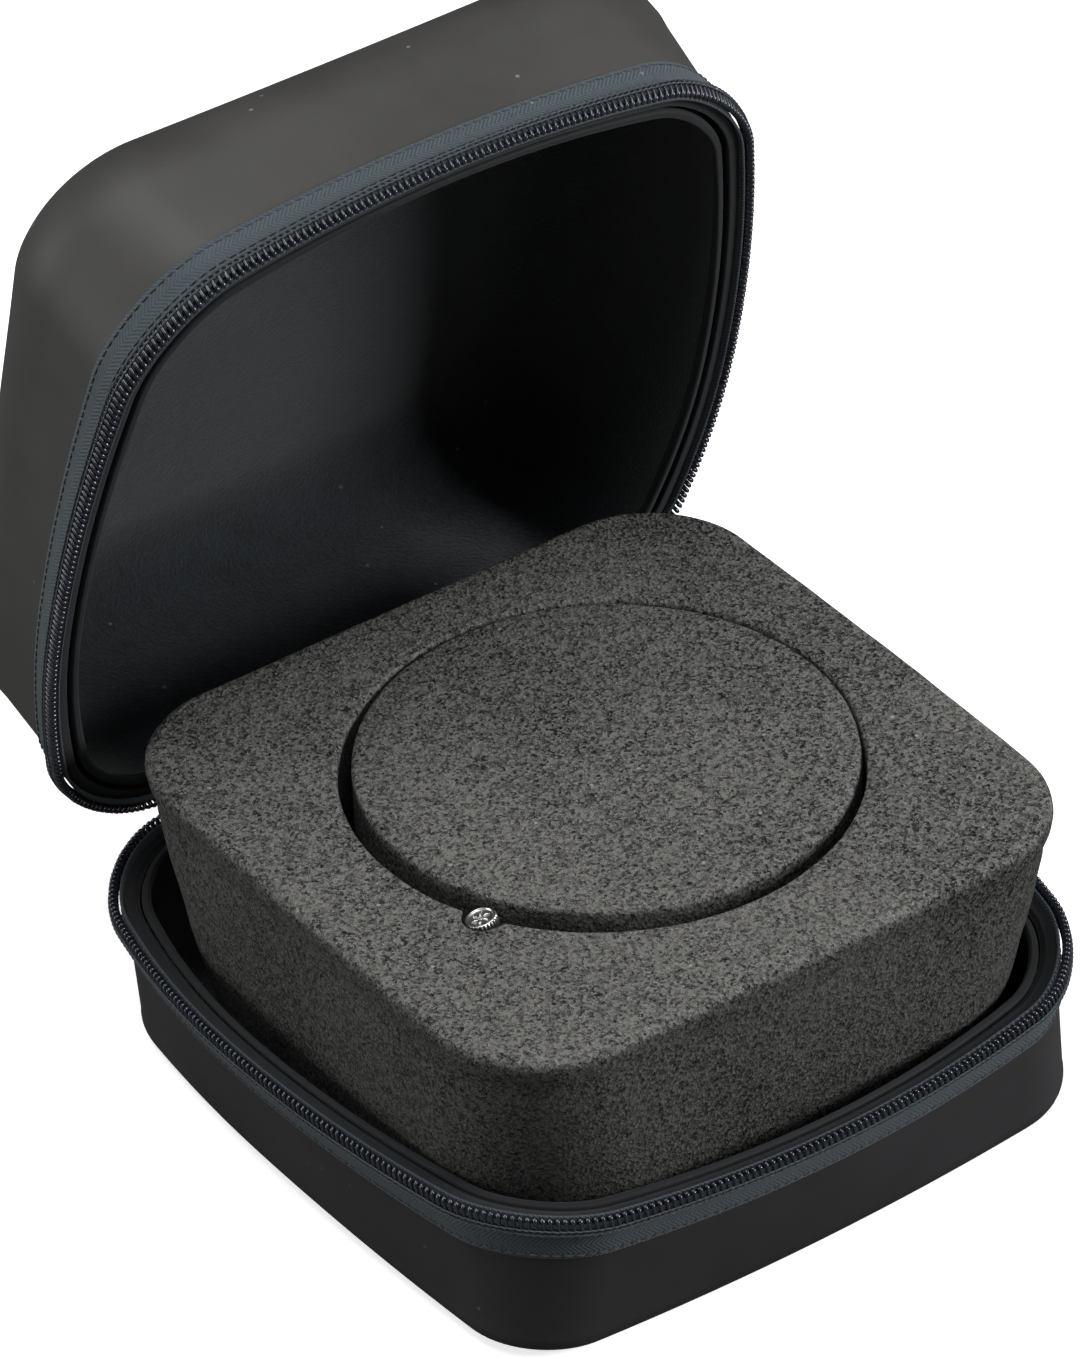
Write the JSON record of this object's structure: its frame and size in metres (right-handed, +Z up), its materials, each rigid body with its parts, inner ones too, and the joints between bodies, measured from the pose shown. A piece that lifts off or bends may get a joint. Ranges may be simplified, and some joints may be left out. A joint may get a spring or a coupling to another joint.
{
  "type": "zip carry case with foam insert",
  "caption": "Small square moulded zip case standing open, with a tall foam block, a loose round foam disc and a ribbed metal knob in the slot beside it.",
  "frame": {"origin": "centre of the flat underside of the base", "axes": "+Z up, -Y towards the front, +Y towards the hinge, +X to the right seen from the front"},
  "size_m": [0.1512, 0.1888, 0.1812],
  "materials": {
    "core": "matte moulded foam",
    "skin": "matte, finely grained",
    "lid_skin": "matte, finely grained",
    "velour": "short mottled pile",
    "rolled_cloth": "smooth cloth",
    "tape": "herringbone woven tape",
    "coil": "glossy",
    "thread": "sewing thread",
    "dark_metal": "satin",
    "foam": "open cell foam",
    "bright_metal": "satin"
  },
  "bodies": {
    "case_base": {"base_outer_skin": "skin", "base_shell": "core", "base_lining": "velour", "base_rim_roll": "rolled_cloth", "base_zipper_tape": "tape", "base_zipper_coil": "coil", "base_tape_seam": "thread", "base_zipper_stop": "dark_metal", "base_hinge_leaf": "tape", "base_hinge_stitches": "thread", "hinge_fold": "tape", "foam_block": "foam", "foam_floor_pad": "foam"},
    "lid": {"lid_outer_skin": "lid_skin", "lid_shell": "core", "lid_lining": "velour", "lid_rim_roll": "rolled_cloth", "lid_zipper_tape": "tape", "lid_zipper_coil": "coil", "lid_tape_seam": "thread", "lid_zipper_stop": "dark_metal", "lid_hinge_leaf": "tape", "lid_hinge_stitches": "thread"},
    "zipper_end": {"zipper_end_chain": "coil", "zipper_end_tab": "tape"},
    "slider": {"zipper_slider": "dark_metal"},
    "puller": {"zipper_puller": "dark_metal"},
    "disc": {"foam_disc": "foam"},
    "knob": {"knob_head": "bright_metal", "knob_stem": "bright_metal"}
  },
  "joints": [
    {"name": "lid_hinge", "type": "hinge", "parent": "case_base", "child": "lid", "pos_m": [0, 0.0753, 0.034], "axis": [-1, 0, 0], "range_deg": [-74.4, 0]},
    {"name": "zipper_end_swing", "type": "hinge", "parent": "case_base", "child": "zipper_end", "pos_m": [0, 0.0753, 0.034], "axis": [-1, 0, 0], "range_deg": [-37.2, 0]},
    {"name": "slider_slide", "type": "slide", "parent": "zipper_end", "child": "slider", "axis": [1, 0, 0], "range_m": [0, 0.006]},
    {"name": "puller_swing", "type": "hinge", "parent": "slider", "child": "puller", "pos_m": [0.0256, 0.07988, 0.03052], "axis": [0, 0.6046, 0.7965], "range_deg": [-80, 80]},
    {"name": "foam_disc_lift", "type": "slide", "parent": "case_base", "child": "disc", "axis": [0, 0, 1], "range_m": [0, 0.06]},
    {"name": "knob_lift", "type": "slide", "parent": "case_base", "child": "knob", "axis": [0, 0, 1], "range_m": [0, 0.012]}
  ],
  "couplings": [
    {"joint": "zipper_end_swing", "follows": "lid_hinge", "ratio": 0.5}
  ]
}
